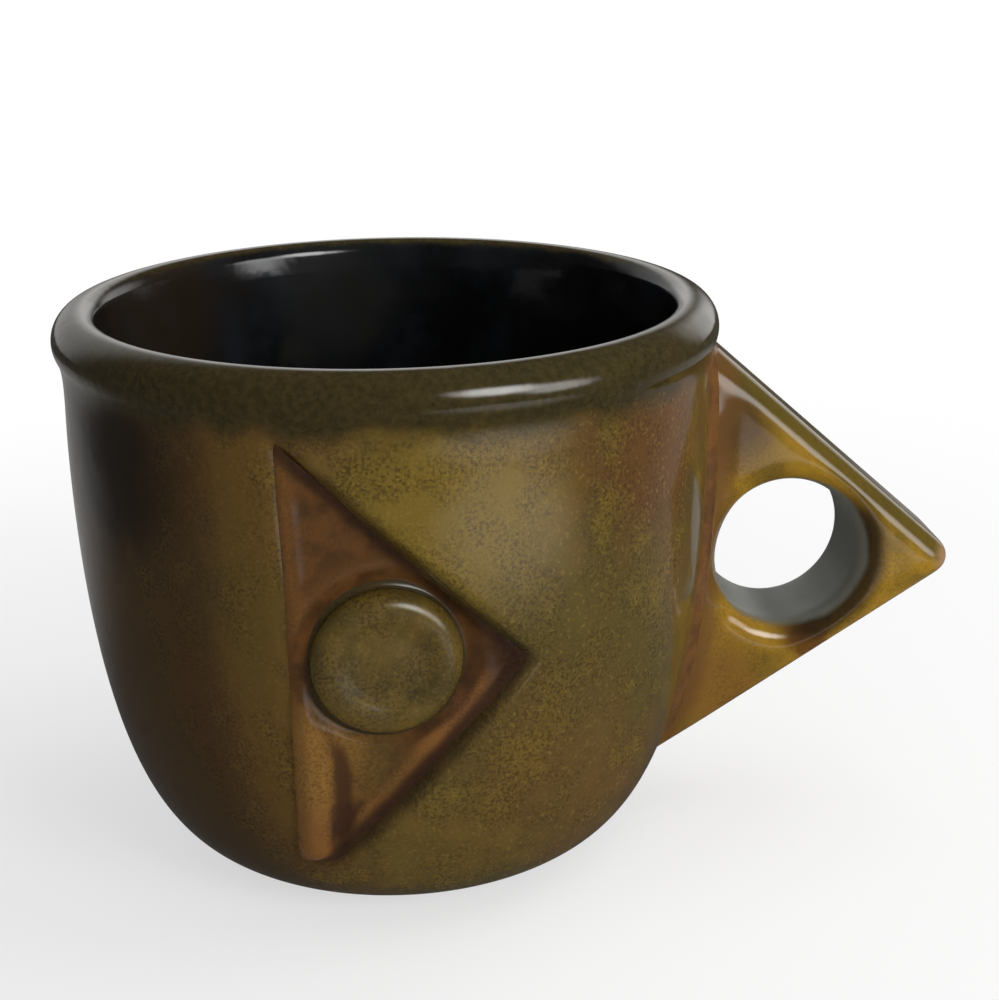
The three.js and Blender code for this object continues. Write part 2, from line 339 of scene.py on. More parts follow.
def outer_side(fine):
    """Outline of the wall from the foot over the belly and the neck to the top of the rolled rim."""
    bead = arc(CROWN_RADIUS, CUP_TOP - BEAD_RADIUS, BEAD_RADIUS, BEAD_START, math.pi / 2, BEAD_STEPS)
    rising = Vector((-math.sin(BEAD_START), 0, math.cos(BEAD_START)))
    belly = interpolate_bezier(
        point(FOOT_RADIUS, CUP_BASE),
        point(WALL_RADIUS - BELLY_INSET, CUP_BASE + BELLY_RISE),
        point(WALL_RADIUS, WIDEST - BELLY_DROP),
        point(WALL_RADIUS, WIDEST),
        fine,
    )
    neck = interpolate_bezier(
        point(WALL_RADIUS, WIDEST),
        point(WALL_RADIUS, (WIDEST + bead[0].z) / 2),
        bead[0] - NECK_PULL * rising,
        bead[0],
        fine // 4,
    )
    return joined(belly, neck, bead)


def inner_side(grow, steps):
    """Outline of the inside from below the rim to the floor, moved into the wall by an amount."""
    wall = WALL_RADIUS - WALL_THICKNESS + grow
    floor = FLOOR - grow
    return interpolate_bezier(
        point(THROAT_RADIUS + grow, LINING_TOP),
        point(wall - WAIST_INSET, WAIST_HEIGHT),
        point(wall, floor),
        point(FLOOR_RADIUS, floor),
        steps,
    )


PROFILE = outer_side(PROFILE_STEPS)


def wall_radius(height):
    """Radius of the outer wall at a height."""
    for below, above in zip(PROFILE, PROFILE[1:]):
        if below.z <= height <= above.z and above.z > below.z:
            return below.x + (above.x - below.x) * (height - below.z) / (above.z - below.z)
    return FOOT_RADIUS


def cup():
    """The thrown cup with the pocket for the relief."""
    throat = math.pi - THROAT_SLOPE
    lip = arc(CROWN_RADIUS, CUP_TOP - LIP_RADIUS, LIP_RADIUS, math.pi / 2, throat, LIP_STEPS)
    outline = joined(
        [point(0, CUP_BASE), point(FOOT_RADIUS, CUP_BASE)],
        PROFILE,
        lip,
        [lip[-1], point(THROAT_RADIUS, LINING_TOP), point(THROAT_RADIUS + LINING, LINING_TOP)],
        inner_side(LINING, HIDDEN_STEPS),
        [point(FLOOR_RADIUS, FLOOR - LINING), point(0, FLOOR - LINING)],
    )
    sectors = [(RELIEF_SIDE, RELIEF_STEPS), (FULL_TURN - RELIEF_SIDE, PLAIN_STEPS)]
    bm = turned(outline, sectors, -(math.pi + RELIEF_SIDE) / 2)
    press_pocket(bm)
    return bm


def lining():
    """The layer of black glaze inside."""
    outline = joined(
        [point(0, FLOOR - LINING), point(FLOOR_RADIUS, FLOOR - LINING)],
        inner_side(LINING, HIDDEN_STEPS)[::-1],
        [point(THROAT_RADIUS + LINING, LINING_TOP), point(THROAT_RADIUS, LINING_TOP)],
        inner_side(0, LINING_STEPS),
        [point(FLOOR_RADIUS, FLOOR), point(0, FLOOR)],
    )
    return turned(outline, [(FULL_TURN, ROUND_STEPS)])


def foot():
    """The ring that the mug stands on."""
    inner = FOOT_RADIUS - FOOT_WIDTH
    outline = joined(
        [point(inner, CUP_BASE)],
        arc(inner + FOOT_ROUND, FOOT_ROUND, FOOT_ROUND, math.pi, 1.5 * math.pi, FOOT_STEPS),
        arc(FOOT_RADIUS - FOOT_ROUND, FOOT_ROUND, FOOT_ROUND, -math.pi / 2, 0, FOOT_STEPS),
        [point(FOOT_RADIUS, CUP_BASE)],
        [point(FOOT_RADIUS, CUP_BASE), point(inner, CUP_BASE)],
    )
    return turned(outline, [(FULL_TURN, ROUND_STEPS)])


# Relief

def panel_edges(spot):
    """Distances of a spot inside the lower end, the lower, the upper and the left edge of the panel."""
    distances = []
    for start, end in zip(PANEL_CORNERS, PANEL_CORNERS[1:] + PANEL_CORNERS[:1]):
        along = (end - start).normalized()
        distances.append(along.cross(spot - start))
    return distances


def panel_plane(height):
    """How far out the panel's face lies. It bends in below the disc, and a little above it."""
    away = height - DISC_MIDDLE.y
    bend = PANEL_LEAN if away > 0 else PANEL_BEND
    return PANEL_FACE - bend + math.sqrt(bend ** 2 - away ** 2)


def wall_plane(spot):
    """How far the wall lies out, in the panel's direction."""
    return math.sqrt(max(wall_radius(spot.y) ** 2 - spot.x ** 2, 0))


def press_pocket(bm):
    """Sinks the wall under the panel, with rounded edges, and marks the crease round it for painted shade.
    """
    crease_shade = bm.verts.layers.float.new("crease_shade")
    to_relief = RELIEF.inverted()
    for vert in bm.verts:
        place = to_relief @ vert.co
        spot = place.xy
        if place.z < POCKET_REACH or abs(place.z - wall_plane(spot)) > SKIN:
            continue
        end, lower, upper, left = panel_edges(spot)
        proud = least(end, left, POCKET_CORNER)
        depth = least(least(lower, upper, POCKET_BLEND), proud, POCKET_BLEND)
        floor = min(place.z - POCKET_LEAST, panel_plane(spot.y) - POCKET_FLOOR)
        place.z += (floor - place.z) * smooth(depth, *POCKET_EDGE)
        vert.co = RELIEF @ place
        # Painted shade in the crease, weaker along the panel's proud left edge.
        share = CREASE_LEAST + (1 - CREASE_LEAST) * smooth(left, *CREASE_DEEPENS)
        vert[crease_shade] = smooth(depth, *POCKET_CREASE) * share


def panel_height(spot):
    """How far out the panel's face lies, how far over the plain bent face, and its share of the valley."""
    end, lower, upper, left = panel_edges(spot)
    ring = (spot - DISC_MIDDLE).length - DISC_RADIUS
    below = smooth(spot.y, *RIB_BROADENS)
    rib_width = RIDGE_WIDTH + (RIB_WIDTH - RIDGE_WIDTH) * below
    beside_rib = left - rib_width
    rib = smooth(beside_rib, *RIB_SIDE)
    valley = hump(beside_rib, *VALLEY_LINE) * below * smooth(lower, *VALLEY_STARTS)
    field = smooth(beside_rib, *FIELD_FROM_RIB) * smooth(lower, *FIELD_FROM_LIP) * below
    lip = hump(lower, *LIP_LINE) * smooth(beside_rib, *LIP_FROM_RIB) * smooth(spot.y, *LIP_FADES)
    ledge = hump(ring, *LEDGE_LINE) * smooth(left, *LEDGE_STARTS)
    stand = RIB_RISE * (1 + below) * rib - VALLEY_DEPTH * valley - FIELD_DEPTH * field
    stand += LIP_RISE * lip + LEDGE_RISE * ledge
    stand -= DISH_DEPTH * smooth(ring, *DISH_SIDE)
    height = panel_plane(spot.y) + stand
    proud = height - wall_plane(spot)
    height -= max(proud + EDGE_DROP, 0) * ease(least(left, end, EDGE_CORNER), EDGE_WIDTH)
    sunk = smooth(proud, *EDGE_SINKS)
    height += EDGE_TURN * ease(least(lower, upper, EDGE_BLEND) - EDGE_INSET, EDGE_WIDTH) * sunk
    return height + UNEVEN * noise.noise(spot.to_3d() / UNEVEN_SIZE), stand, valley


def panel_back(place):
    """Where the back of the panel lies behind a point of its face."""
    return Vector((place.x, place.y, min(place.z - PANEL_LEAST, panel_plane(place.y) - PANEL_BACK)))


def relief_panel():
    """The triangle: a fine grid cut to its outline, shaped on its face and closed at its back."""
    low = Vector((PANEL_TOP.x, PANEL_FOOT.y))
    high = Vector((PANEL_APEX.x, PANEL_TOP.y))
    size = (high - low) / 2
    middle = (high + low) / 2
    bm = bmesh.new()
    bmesh.ops.create_grid(bm, x_segments=PANEL_GRID[0], y_segments=PANEL_GRID[1], size=1)
    bmesh.ops.transform(
        bm,
        matrix=Matrix.Translation(middle.to_3d()) @ Matrix.Diagonal((size.x, size.y, 1, 1)),
        verts=bm.verts,
    )
    for start, end in zip(PANEL_CORNERS, PANEL_CORNERS[1:] + PANEL_CORNERS[:1]):
        along = (end - start).normalized()
        bmesh.ops.bisect_plane(
            bm,
            geom=bm.verts[:] + bm.edges[:] + bm.faces[:],
            plane_co=start.to_3d(),
            plane_no=(along.y, -along.x, 0),
            clear_outer=True,
        )
    bmesh.ops.remove_doubles(bm, verts=bm.verts, dist=PANEL_WELD)
    crease_shade = bm.verts.layers.float.new("crease_shade")
    stand = bm.verts.layers.float.new("stand")
    valley = bm.verts.layers.float.new("valley")
    for vert in bm.verts:
        spot = vert.co.xy
        end, lower, upper, left = panel_edges(spot)
        # Painted shade along the sunk upper and lower edges, and a little along the left edge.
        sunk = smooth(least(lower, upper, EDGE_BLEND), *PANEL_CREASE)
        vert[crease_shade] = max(sunk, CREASE_LEAST * smooth(left, *LEFT_CREASE))
        vert.co.z, vert[stand], vert[valley] = panel_height(spot)
    backed(bm, panel_back)
    bmesh.ops.transform(bm, matrix=RELIEF, verts=bm.verts)
    return bm


def relief_disc():
    """The button: a spreading skirt, an upright side, a round shoulder and a slightly hollow face."""
    top = DISH_DEPTH + DISC_RISE
    bend = top - DISC_SHOULDER
    rim = DISC_RADIUS - DISC_SHOULDER
    face = top - DISC_HOLLOW
    middle = face + DISC_CROWN
    skirt = DISC_RADIUS + DISC_SKIRT
    side = interpolate_bezier(
        point(skirt, SKIRT_LOW),
        point(DISC_RADIUS, 0),
        point(DISC_RADIUS, SKIRT_HIGH),
        point(DISC_RADIUS, bend),
        SIDE_STEPS,
    )
    fall = interpolate_bezier(
        point(rim, top),
        point(rim - FALL_BRINK, top),
        point(rim - FALL_TOE, face),
        point(rim - FALL_WIDTH, face),
        SHOULDER_STEPS,
    )
    hollow = interpolate_bezier(
        point(rim - FALL_WIDTH, face),
        point(rim - HOLLOW_EDGE, face),
        point(HOLLOW_MIDDLE, middle),
        point(0, middle),
        SIDE_STEPS,
    )
    outline = joined(
        [point(0, -DISC_BED), point(skirt, -DISC_BED), side[0]],
        side,
        arc(rim, bend, DISC_SHOULDER, 0, math.pi / 2, SHOULDER_STEPS),
        fall,
        hollow,
    )
    bm = turned(outline, [(FULL_TURN, DISC_STEPS)])
    # Painted shade in the crease at the disc's foot.
    crease_shade = bm.verts.layers.float.new("crease_shade")
    for vert in bm.verts:
        vert[crease_shade] = smooth(vert.co.z, bend + DISC_CREASE[0], DISC_CREASE[1])
    place = Matrix.Translation((DISC_MIDDLE.x, DISC_MIDDLE.y, PANEL_FACE - DISH_DEPTH))
    bmesh.ops.transform(bm, matrix=RELIEF @ place, verts=bm.verts)
    return bm


# Handle and joining slip

def grown(corners, distance):
    """Corners of an outline, drawn anticlockwise, with every side moved out by a distance."""
    moved = []
    for i, corner in enumerate(corners):
        before = (corner - corners[i - 1]).normalized()
        after = (corners[(i + 1) % len(corners)] - corner).normalized()
        out = Vector((before.y, -before.x)) + Vector((after.y, -after.x))
        moved.append(corner + out * distance / (1 + before.dot(after)))
    return moved


def slab():
    """Triangular slab with rounded edges."""
    bm = bmesh.new()
    outline = grown([SLAB_LOW, SLAB_TIP, SLAB_TOP], HANDLE_EDGE)
    face = bm.faces.new([bm.verts.new((c.x, -HANDLE_THICKNESS / 2, c.y)) for c in outline])
    far = bmesh.ops.extrude_face_region(bm, geom=[face], use_keep_orig=True)["geom"]
    far_verts = [part for part in far if isinstance(part, bmesh.types.BMVert)]
    bmesh.ops.translate(bm, verts=far_verts, vec=(0, HANDLE_THICKNESS, 0))
    bmesh.ops.recalc_face_normals(bm, faces=bm.faces)
    bmesh.ops.bevel(
        bm,
        geom=bm.edges[:],
        offset=HANDLE_EDGE,
        affect="EDGES",
        segments=HANDLE_EDGE_STEPS,
        profile=0.5,
        material=-1,
    )
    return bm


def finger_hole():
    """Spool along Y, wider at its two rounded mouths."""
    straight = HANDLE_THICKNESS / 2 - HOLE_MOUTH
    mouth = HOLE_RADIUS + HOLE_MOUTH
    wide = mouth + HOLE_CLEAR
    far = HANDLE_THICKNESS
    outline = joined(
        [point(0, -far), point(wide, -far), point(wide, -straight - HOLE_MOUTH)],
        [point(wide, -straight - HOLE_MOUTH), point(mouth, -straight - HOLE_MOUTH)],
        arc(mouth, -straight, HOLE_MOUTH, -math.pi / 2, -math.pi, MOUTH_STEPS),
        arc(mouth, straight, HOLE_MOUTH, math.pi, math.pi / 2, MOUTH_STEPS),
        [point(mouth, straight + HOLE_MOUTH), point(wide, straight + HOLE_MOUTH)],
        [point(wide, straight + HOLE_MOUTH), point(wide, far), point(0, far)],
    )
    bm = turned(outline, [(FULL_TURN, HOLE_STEPS)])
    place = Matrix.Translation((HOLE.x, 0, HOLE.y)) @ Matrix.Rotation(math.radians(-90), 4, "X")
    bmesh.ops.transform(bm, matrix=place, verts=bm.verts)
    return bm


def cup_core():
    """The space inside the wall's outer skin, which trims the handle's root."""
    skin = [point(p.x - ROOT_SINK, p.z) for p in outer_side(CORE_PROFILE_STEPS)]
    outline = joined([point(0, CUP_BASE), skin[0]], skin, [skin[-1], point(0, CUP_TOP)])
    return turned(outline, [(FULL_TURN, CORE_STEPS)])


def workpiece(bm):
    """A passing object for a modifier."""
    mesh = bpy.data.meshes.new("workpiece")
    bm.to_mesh(mesh)
    bm.free()
    made = bpy.data.objects.new("workpiece", mesh)
    bpy.context.scene.collection.objects.link(made)
    return made


def remeshed(body, cutters, voxel):
    """A fine even mesh of a body less its cutters."""
    base = workpiece(body)
    tools = [workpiece(cutter) for cutter in cutters]
    for tool in tools:
        cut = base.modifiers.new("cut", "BOOLEAN")
        cut.operation = "DIFFERENCE"
        cut.solver = "EXACT"
        cut.object = tool
    skin = base.modifiers.new("skin", "REMESH")
    skin.mode = "VOXEL"
    skin.voxel_size = voxel
    finished = bpy.context.evaluated_depsgraph_get()
    bm = bmesh.new()
    bm.from_object(base, finished)
    for made in [base, *tools]:
        bpy.data.objects.remove(made)
    return bm


def root_ends(height):
    """1 along the middle of the root, 0 at its top and bottom."""
    return smooth(height, *ROOT_WIDENS) * smooth(height, *ROOT_NARROWS)


def reach(place):
    """How far a point lies out from the wall."""
    return math.hypot(place.x, place.y) - wall_radius(min(place.z, REACH_TOP))


def handle():
    """The slab, pierced, cut to the cup's side, softened and flared at its root."""
    bm = remeshed(slab(), [finger_hole(), cup_core()], VOXEL)
    every_way = {"use_axis_x": True, "use_axis_y": True, "use_axis_z": True}
    for _ in range(SOFT_PASSES):
        bmesh.ops.smooth_vert(bm, verts=bm.verts, factor=SOFT_SHARE, **every_way)
    tip = max(vert.co.x for vert in bm.verts)
    stretch = (HANDLE_TIP - WALL_RADIUS) / (tip - WALL_RADIUS)
    root = bm.verts.layers.float.new("reach")
    ledge = bm.verts.layers.float.new("ledge")
    slope = (SLAB_TOP - SLAB_TIP).normalized()
    for vert in bm.verts:
        away = reach(vert.co)
        vert[root] = away
        vert[ledge] = slope.cross(vert.co.xz - SLAB_TIP) + HANDLE_EDGE
        flare = FLARE * smooth(away, FLARE_LENGTH, FLARE_FULL) ** 2 * root_ends(vert.co.z)
        side = min(abs(vert.co.y) / (HANDLE_THICKNESS / 2), 1)
        vert.co.y += math.copysign(flare * side, vert.co.y)
        if vert.co.x > WALL_RADIUS:
            vert.co.x = WALL_RADIUS + (vert.co.x - WALL_RADIUS) * stretch
    bmesh.ops.recalc_face_normals(bm, faces=bm.faces)
    return bm


def root_distance(across, height):
    """Distance along the wall from the outline of the handle's root, below 0 inside it."""
    side = abs(across) - (HANDLE_THICKNESS / 2 + FLARE * root_ends(height) - ROOT_ROUND)
    end = abs(height - (ROOT_HIGH + ROOT_LOW) / 2) - ((ROOT_HIGH - ROOT_LOW) / 2 - ROOT_ROUND)
    return math.hypot(max(side, 0), max(end, 0)) + min(max(side, end), 0) - ROOT_ROUND


def pushed(place, distance):
    """A point moved away from the cup's axis."""
    share = 1 + distance / math.hypot(place.x, place.y)
    return Vector((place.x * share, place.y * share, place.z))


def joining_slip():
    """A patch of the wall round the root, raised into a fillet and sunk into the wall at its edge."""
    margin = SLIP_SPREAD + SLIP_MARGIN
    outline = [p for p in PROFILE if ROOT_LOW - margin < p.z < ROOT_HIGH + margin]
    bm = turned(outline, [(2 * SLIP_SIDE, SLIP_STEPS)], -SLIP_SIDE)
    spare = set()
    edge = bm.verts.layers.float.new("edge")
    for vert in bm.verts:
        across = wall_radius(vert.co.z) * math.atan2(vert.co.y, vert.co.x)
        distance = root_distance(across, vert.co.z)
        if distance > SLIP_SPREAD + SLIP_TRIM:
            spare.add(vert)
        rise = SLIP_RISE * smooth(distance, SLIP_SPREAD, SLIP_FULL) ** 2
        vert[edge] = smooth(distance, *SLIP_EDGE)
        vert.co = pushed(vert.co, rise - SLIP_SINK)
    bmesh.ops.delete(bm, geom=list(spare), context="VERTS")
    backed(bm, lambda co: pushed(co, -SLIP_RISE))
    return bm


# Materials

# Roughness of a glaze and how far it varies, and the ripple of its surface
GLOSS = 0.07
GLOSS_VARIES = 0.1
SLIP_GLOSS = 0.12
DISC_GLOSS = 0.2
TUNNEL_DULLS = 0.3
RIPPLE_STRENGTH = 0.1
RIPPLE_HEIGHT = 0.5

# Share of a cloud's radius over which it covers fully
CLOUD_CORE = 0.3

# Heights between which the rim's dark band, partly painted shade in the neck, and the mouth's black begin
RIM_BAND = (68.3, 72.3)
MOUTH_BAND = (66, 70)

# Sizes of the grains of iron, the crowds that they lie in and the pale flecks
SPECK_SIZE = 0.42
CROWD_SIZE = 6
FLECK_SIZE = 0.6


def rgb(code):
    """Linear colour of an eight-bit colour written in hex."""
    parts = [(code >> shift & 255) / 255 for shift in (16, 8, 0)]
    return tuple(p / 12.92 if p <= 0.04045 else ((p + 0.055) / 1.055) ** 2.4 for p in parts) + (1,)


class Wire:
    """A value in a shader. Arithmetic on it adds Math nodes, and node() adds any other."""

    def __init__(self, tree, socket=None):
        self.tree = tree
        self.socket = socket

    def node(self, kind, settings=None, sockets=None, output=0):
        made = self.tree.nodes.new("ShaderNode" + kind)
        for name, value in (settings or {}).items():
            setattr(made, name, value)
        for name, value in (sockets or {}).items():
            if isinstance(value, Wire):
                self.tree.links.new(value.socket, made.inputs[name])
            else:
                made.inputs[name].default_value = value
        return Wire(self.tree, made.outputs[output])

    def math(self, operation, first, second):
        return self.node("Math", {"operation": operation}, {0: first, 1: second})

    def __add__(self, other):
        return self.math("ADD", self, other)

    def __sub__(self, other):
        return self.math("SUBTRACT", self, other)

    def __rsub__(self, other):
        return self.math("SUBTRACT", other, self)

    def __mul__(self, other):
        return self.math("MULTIPLY", self, other)

    __radd__ = __add__
    __rmul__ = __mul__

    def step(self, low, high):
        """0 at low, 1 at high, softly."""
        settings = {"interpolation_type": "SMOOTHSTEP"}
        return self.node("MapRange", settings, {"Value": self, "From Min": low, "From Max": high})

    def mix(self, first, second):
        """A colour between two, with this value as the share of the second."""
        return self.node("Mix", {"data_type": "RGBA"}, {0: self, 6: first, 7: second}, output=2)

    def grain(self, size, detail, rough=0.5):
        """Cloudy noise from 0 to 1 on these coordinates, with spots of about a size in millimetres."""
        sockets = {"Vector": self, "Scale": 1 / (size * MM), "Detail": detail, "Roughness": rough}
        return self.node("TexNoise", None, sockets)

    def sway(self, width):
        """This noise as a number that swings about 0, within a width."""
        return (self - 0.5) * width

    def along(self, axis):
        """One coordinate."""
        return self.node("SeparateXYZ", None, {0: self}, output="XYZ".index(axis))

    def away(self, spot):
        """Distance in millimetres from a spot, given in millimetres in the frame."""
        place = tuple(x * MM for x in spot)
        metres = self.node("VectorMath", {"operation": "DISTANCE"}, {0: self, 1: place}, output=1)
        return metres * (1 / MM)

    def flattened(self, keep):
        """Coordinates of which only some axes are kept."""
        return self.node("VectorMath", {"operation": "MULTIPLY"}, {0: self, 1: keep})

    def seen(self):
        """1 for a ray from the camera, from a reflection or through glass."""
        rays = ("Is Camera Ray", "Is Glossy Ray", "Is Transmission Ray")
        camera_ray, glossy_ray, clear_ray = [self.node("LightPath", output=ray) for ray in rays]
        return camera_ray + glossy_ray + clear_ray

    def mark(self, name):
        """A value that was stored on the mesh."""
        return self.node("Attribute", {"attribute_name": name}, output=2)


def glaze(name):
    """A new material, with its shader and its object coordinates."""
    material = bpy.data.materials.new(name)
    material.use_nodes = True
    tree = material.node_tree
    shader = tree.nodes["Principled BSDF"]
    coordinates = Wire(tree).node("TexCoord", output=3)
    return material, shader, coordinates


def feed(shader, **sockets):
    """Sets or links a shader's sockets, named with underscores."""
    tree = shader.id_data
    for name, value in sockets.items():
        socket = shader.inputs[name.replace("_", " ")]
        if isinstance(value, Wire):
            tree.links.new(value.socket, socket)
        else:
            socket.default_value = value


def bump(height, strength, distance):
    """A normal that follows a height, of which 1 stands for a distance in millimetres."""
    sockets = {"Height": height, "Strength": strength, "Distance": distance * MM}
    return height.node("Bump", None, sockets)


def fired(shader, place, colour, gloss=GLOSS):
    """Gives a glaze its colour, its gloss and the faint ripple of its surface."""
    ripple = place.grain(4, 2)
    feed(
        shader,
        Base_Color=colour,
        Roughness=gloss + GLOSS_VARIES * place.grain(8, 3),
        Normal=bump(ripple, RIPPLE_STRENGTH, RIPPLE_HEIGHT),
    )


def on_wall(azimuth, height):
    """A spot on the wall: degrees from the front towards the handle, and millimetres up."""
    radius = wall_radius(height)
    turn = math.radians(azimuth)
    return AXIS_X + radius * math.sin(turn), -radius * math.cos(turn), height


def level(spot):
    """A spot brought down to the table."""
    return spot[0], spot[1], 0


def on_panel(across, height):
    """A spot on the relief panel, in the panel's own measures."""
    spot = RELIEF @ Vector((across, height, panel_plane(height)))
    return spot + Vector((AXIS_X, 0, 0))


def clouded(place, colour, clouds, wobble):
    """Lays soft clouds of glaze, each (spot, radius, share, tint), over a colour."""
    for spot, radius, share, tint in clouds:
        cover = (place.away(spot) + wobble).step(radius, CLOUD_CORE * radius) * share
        colour = cover.mix(colour, tint)
    return colour


def speckled(place, colour, tint, share):
    """Fine dark grains of iron in a glaze."""
    grains = place.grain(SPECK_SIZE, 2, 0.6).step(0.4, 0.68)
    crowd = place.grain(CROWD_SIZE, 2).step(0.25, 0.65)
    return (grains * crowd * share).mix(colour, tint)


def flecked(place, colour, tint, share):
    """Fine pale flecks where a glaze is thin."""
    flecks = place.grain(FLECK_SIZE, 3, 0.6).step(0.54, 0.7)
    return (flecks * share).mix(colour, tint)


OLIVE = rgb(0x544823)
GOLD = rgb(0x776124)
BROWN = rgb(0x604824)
RUST = rgb(0x5a3b1e)
ORANGE = rgb(0x82592c)
UMBER = rgb(0x42301a)
DARK = rgb(0x241a11)
BLACK = rgb(0x08090a)
SHADED_DARK_GLAZE = rgb(0x17110b)
SLATE = rgb(0x181a1d)
REFLECTED_GREY = rgb(0x262624)
PEAT = rgb(0x2a2117)
MOSS = rgb(0x272311)
FERN = rgb(0x38311a)
TOBACCO = rgb(0x3c2a16)
HONEY = rgb(0x664e1d)
STRAW = rgb(0x8f7736)
SAND = rgb(0x665123)
CLAY = rgb(0x6b4a2c)
PALE_CLAY = rgb(0x8a6440)
SLIP_BROWN = rgb(0x583b1f)
SLIP_RUST = rgb(0x704a24)
MUSTARD = rgb(0x9c7822)
BRONZE = rgb(0x755c20)
WALNUT = rgb(0x48331f)
RUSSET = rgb(0x6b4526)
CHESTNUT = rgb(0x552c12)
LEDGE_OLIVE = rgb(0x4c421a)
ROOT_BROWN = rgb(0x604122)
TIP_TAN = rgb(0xa88460)
MOUTH_SHADE_BROWN = rgb(0x261c12)
TUNNEL_REFLECTION_GREY = rgb(0x6c6e66)
PANEL_BROWN = rgb(0x5c3c1d)
PANEL_DARK = rgb(0x422c18)
FIELD_OLIVE = rgb(0x594722)
LIP_PINK = rgb(0x6a4630)
APEX_MAROON = rgb(0x2c1814)
RIB_GOLD = rgb(0x86632e)
VALLEY_MAROON = rgb(0x3a2118)
CREASE_SHADE_BROWN = rgb(0x2b1b14)
DISC_GOLD = rgb(0x604d1e)
DISC_OLIVE = rgb(0x4d411d)
DISC_FLECK = rgb(0x7c6a30)
DISC_FOOT_SHADE = rgb(0x2a2113)


def black_glaze(place):
    """Colour of the inside: black, brown below the rim on the left, and a painted grey reflection at the
    back.
    """
    patch = place.grain(9, 4)
    colour = patch.step(0.4, 0.75).mix(BLACK, SLATE)
    clouds = [
        ((AXIS_X - 32, 18, 74), 24, 0.6, PEAT),
        # Painted reflection: a grey cloud on the far inner wall below the rim.
        ((AXIS_X - 8, 38, 70), 15, 0.5, REFLECTED_GREY),
    ]
    return clouded(place, colour, clouds, patch.sway(26))


def body_glaze():
    """Olive, gold and brown clouds, a dark band under the rim, black inside the mouth; painted shade on
    the left side, in the neck and in the crease round the relief's pocket.
    """
    material, shader, place = glaze("body_glaze")
    height = place.along("Z") * (1 / MM)
    cloud = place.grain(20, 3)
    patch = place.grain(6, 4)
    wobble = patch.sway(22)
    colour = cloud.step(0.38, 0.62).mix(OLIVE, BROWN)
    colour = (patch.step(0.5, 0.66) * 0.5).mix(colour, GOLD)
    clouds = [
        (on_wall(7, 60), 20, 0.85, GOLD),
        (on_wall(32, 40), 22, 0.6, OLIVE),
        (on_wall(46, 64), 17, 0.8, RUST),
        (on_wall(20, 20), 15, 0.6, BROWN),
        (on_wall(6, 13), 14, 0.6, SAND),
        (on_wall(150, 50), 26, 0.7, GOLD),
        (on_wall(-130, 30), 26, 0.7, RUST),
    ]
    colour = clouded(place, colour, clouds, wobble)
    colour = flecked(place, colour, STRAW, 0.35)
    across = place.flattened((1, 1, 0))
    # Painted shade: the left side, away from the lamps, darkens towards tobacco brown, over its darker
    # glaze.
    left = across.away(level(on_wall(-80, 50))) + patch.sway(10)
    colour = (left.step(48, 30) * 0.85).mix(colour, TOBACCO)
    streak = across.away(level(on_wall(-24, 50))) + patch.sway(12)
    colour = (streak.step(7, 1) * 0.4).mix(colour, HONEY)
    colour = speckled(place, colour, DARK, 0.6)
    # Painted shade over darker glaze: a near-black patch on the shaded left side.
    colour = clouded(place, colour, [(on_wall(-54, 63), 17, 0.85, SHADED_DARK_GLAZE)], wobble * 0.4)
    # Dark olive glaze of the rim, carried down into the neck as painted shade under the rim.
    band = (height + patch.sway(6)).step(*RIM_BAND)
    mottle = place.grain(0.9, 4, 0.6).step(0.35, 0.7).mix(MOSS, FERN)
    colour = (band * 0.88).mix(colour, mottle)
    # Painted shade in the crease round the relief's pocket, where the glaze also pools darker.
    crease_shade = (place.mark("crease_shade") + patch.sway(0.4)).step(0.1, 1)
    colour = (crease_shade * 0.7).mix(colour, DARK)
    mouth = across.away((AXIS_X, 0, 0)) + patch.sway(1.5)
    inside = mouth.step(CROWN_RADIUS - 0.9, MOUTH_RADIUS + 0.3) * height.step(*MOUTH_BAND)
    colour = inside.mix(colour, black_glaze(place))
    fired(shader, place, colour)
    return material


def lining_glaze():
    """The black of the inside."""
    material, shader, place = glaze("lining_glaze")
    fired(shader, place, black_glaze(place))
    return material


def bare_clay():
    """Rough clay without glaze."""
    material, shader, place = glaze("bare_clay")
    grit = place.grain(0.8, 4, 0.7)
    colour = place.grain(6, 3).mix(CLAY, PALE_CLAY)
    feed(shader, Base_Color=colour, Roughness=0.7 + 0.2 * grit, Normal=bump(grit, 0.4, 0.3))
    return material


def slip():
    """Rust brown, which turns to the wall's brown at its edge."""
    material, shader, place = glaze("slip")
    patch = place.grain(3, 4)
    colour = patch.step(0.35, 0.65).mix(SLIP_BROWN, SLIP_RUST)
    colour = (place.mark("edge") + patch.sway(0.8)).step(0.2, 0.9).mix(colour, BROWN)
    colour = speckled(place, colour, UMBER, 0.5)
    fired(shader, place, colour, SLIP_GLOSS)
    return material


